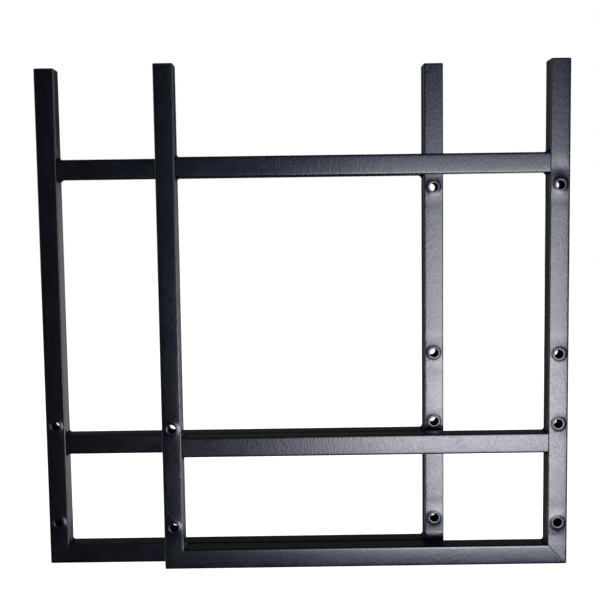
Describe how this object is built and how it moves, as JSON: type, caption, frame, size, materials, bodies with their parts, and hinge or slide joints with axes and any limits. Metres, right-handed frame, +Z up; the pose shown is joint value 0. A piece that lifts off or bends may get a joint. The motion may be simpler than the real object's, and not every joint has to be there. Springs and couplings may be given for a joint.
{
  "type": "window security grille",
  "caption": "Adjustable-width window security grille: two welded square-tube panels that slide past each other, with bolt sleeves through their posts.",
  "frame": {"origin": "middle of the grille's foot, at the height of the bottom rails' underside, with the panels offset as in the rest pose", "axes": "+X to the right along the width, +Y through the grille from the front panel to the rear panel, +Z up"},
  "size_m": [0.675, 0.0546, 0.645],
  "materials": {
    "powder_coat": "satin black powder coat, fine texture",
    "coated_sleeve": "satin black powder coat over a steel bush",
    "coated_weld": "satin black powder coat over a weld bead",
    "plug_plastic": "fine-grained black polyethylene"
  },
  "bodies": {
    "rear_panel": {"rear_bottom_rail": "powder_coat", "rear_left_end_plug": "plug_plastic", "rear_left_post": "powder_coat", "rear_left_sleeve_foot": "coated_sleeve", "rear_left_sleeve_low": "coated_sleeve", "rear_lower_rail": "powder_coat", "rear_right_end_plug": "plug_plastic", "rear_right_post": "powder_coat", "rear_right_sleeve_foot": "coated_sleeve", "rear_right_sleeve_high": "coated_sleeve", "rear_right_sleeve_low": "coated_sleeve", "rear_right_sleeve_mid": "coated_sleeve", "rear_upper_rail": "powder_coat", "rear_weld_beads": "coated_weld"},
    "front_panel": {"front_bottom_rail": "powder_coat", "front_left_end_plug": "plug_plastic", "front_left_post": "powder_coat", "front_left_sleeve_foot": "coated_sleeve", "front_left_sleeve_low": "coated_sleeve", "front_lower_rail": "powder_coat", "front_right_end_plug": "plug_plastic", "front_right_post": "powder_coat", "front_right_sleeve_foot": "coated_sleeve", "front_right_sleeve_high": "coated_sleeve", "front_right_sleeve_low": "coated_sleeve", "front_right_sleeve_mid": "coated_sleeve", "front_upper_rail": "powder_coat", "front_weld_beads": "coated_weld"}
  },
  "joints": [
    {"name": "panel_width_slide", "type": "slide", "parent": "rear_panel", "child": "front_panel", "axis": [1, 0, 0], "range_m": [-0.155, 0.3396]}
  ]
}
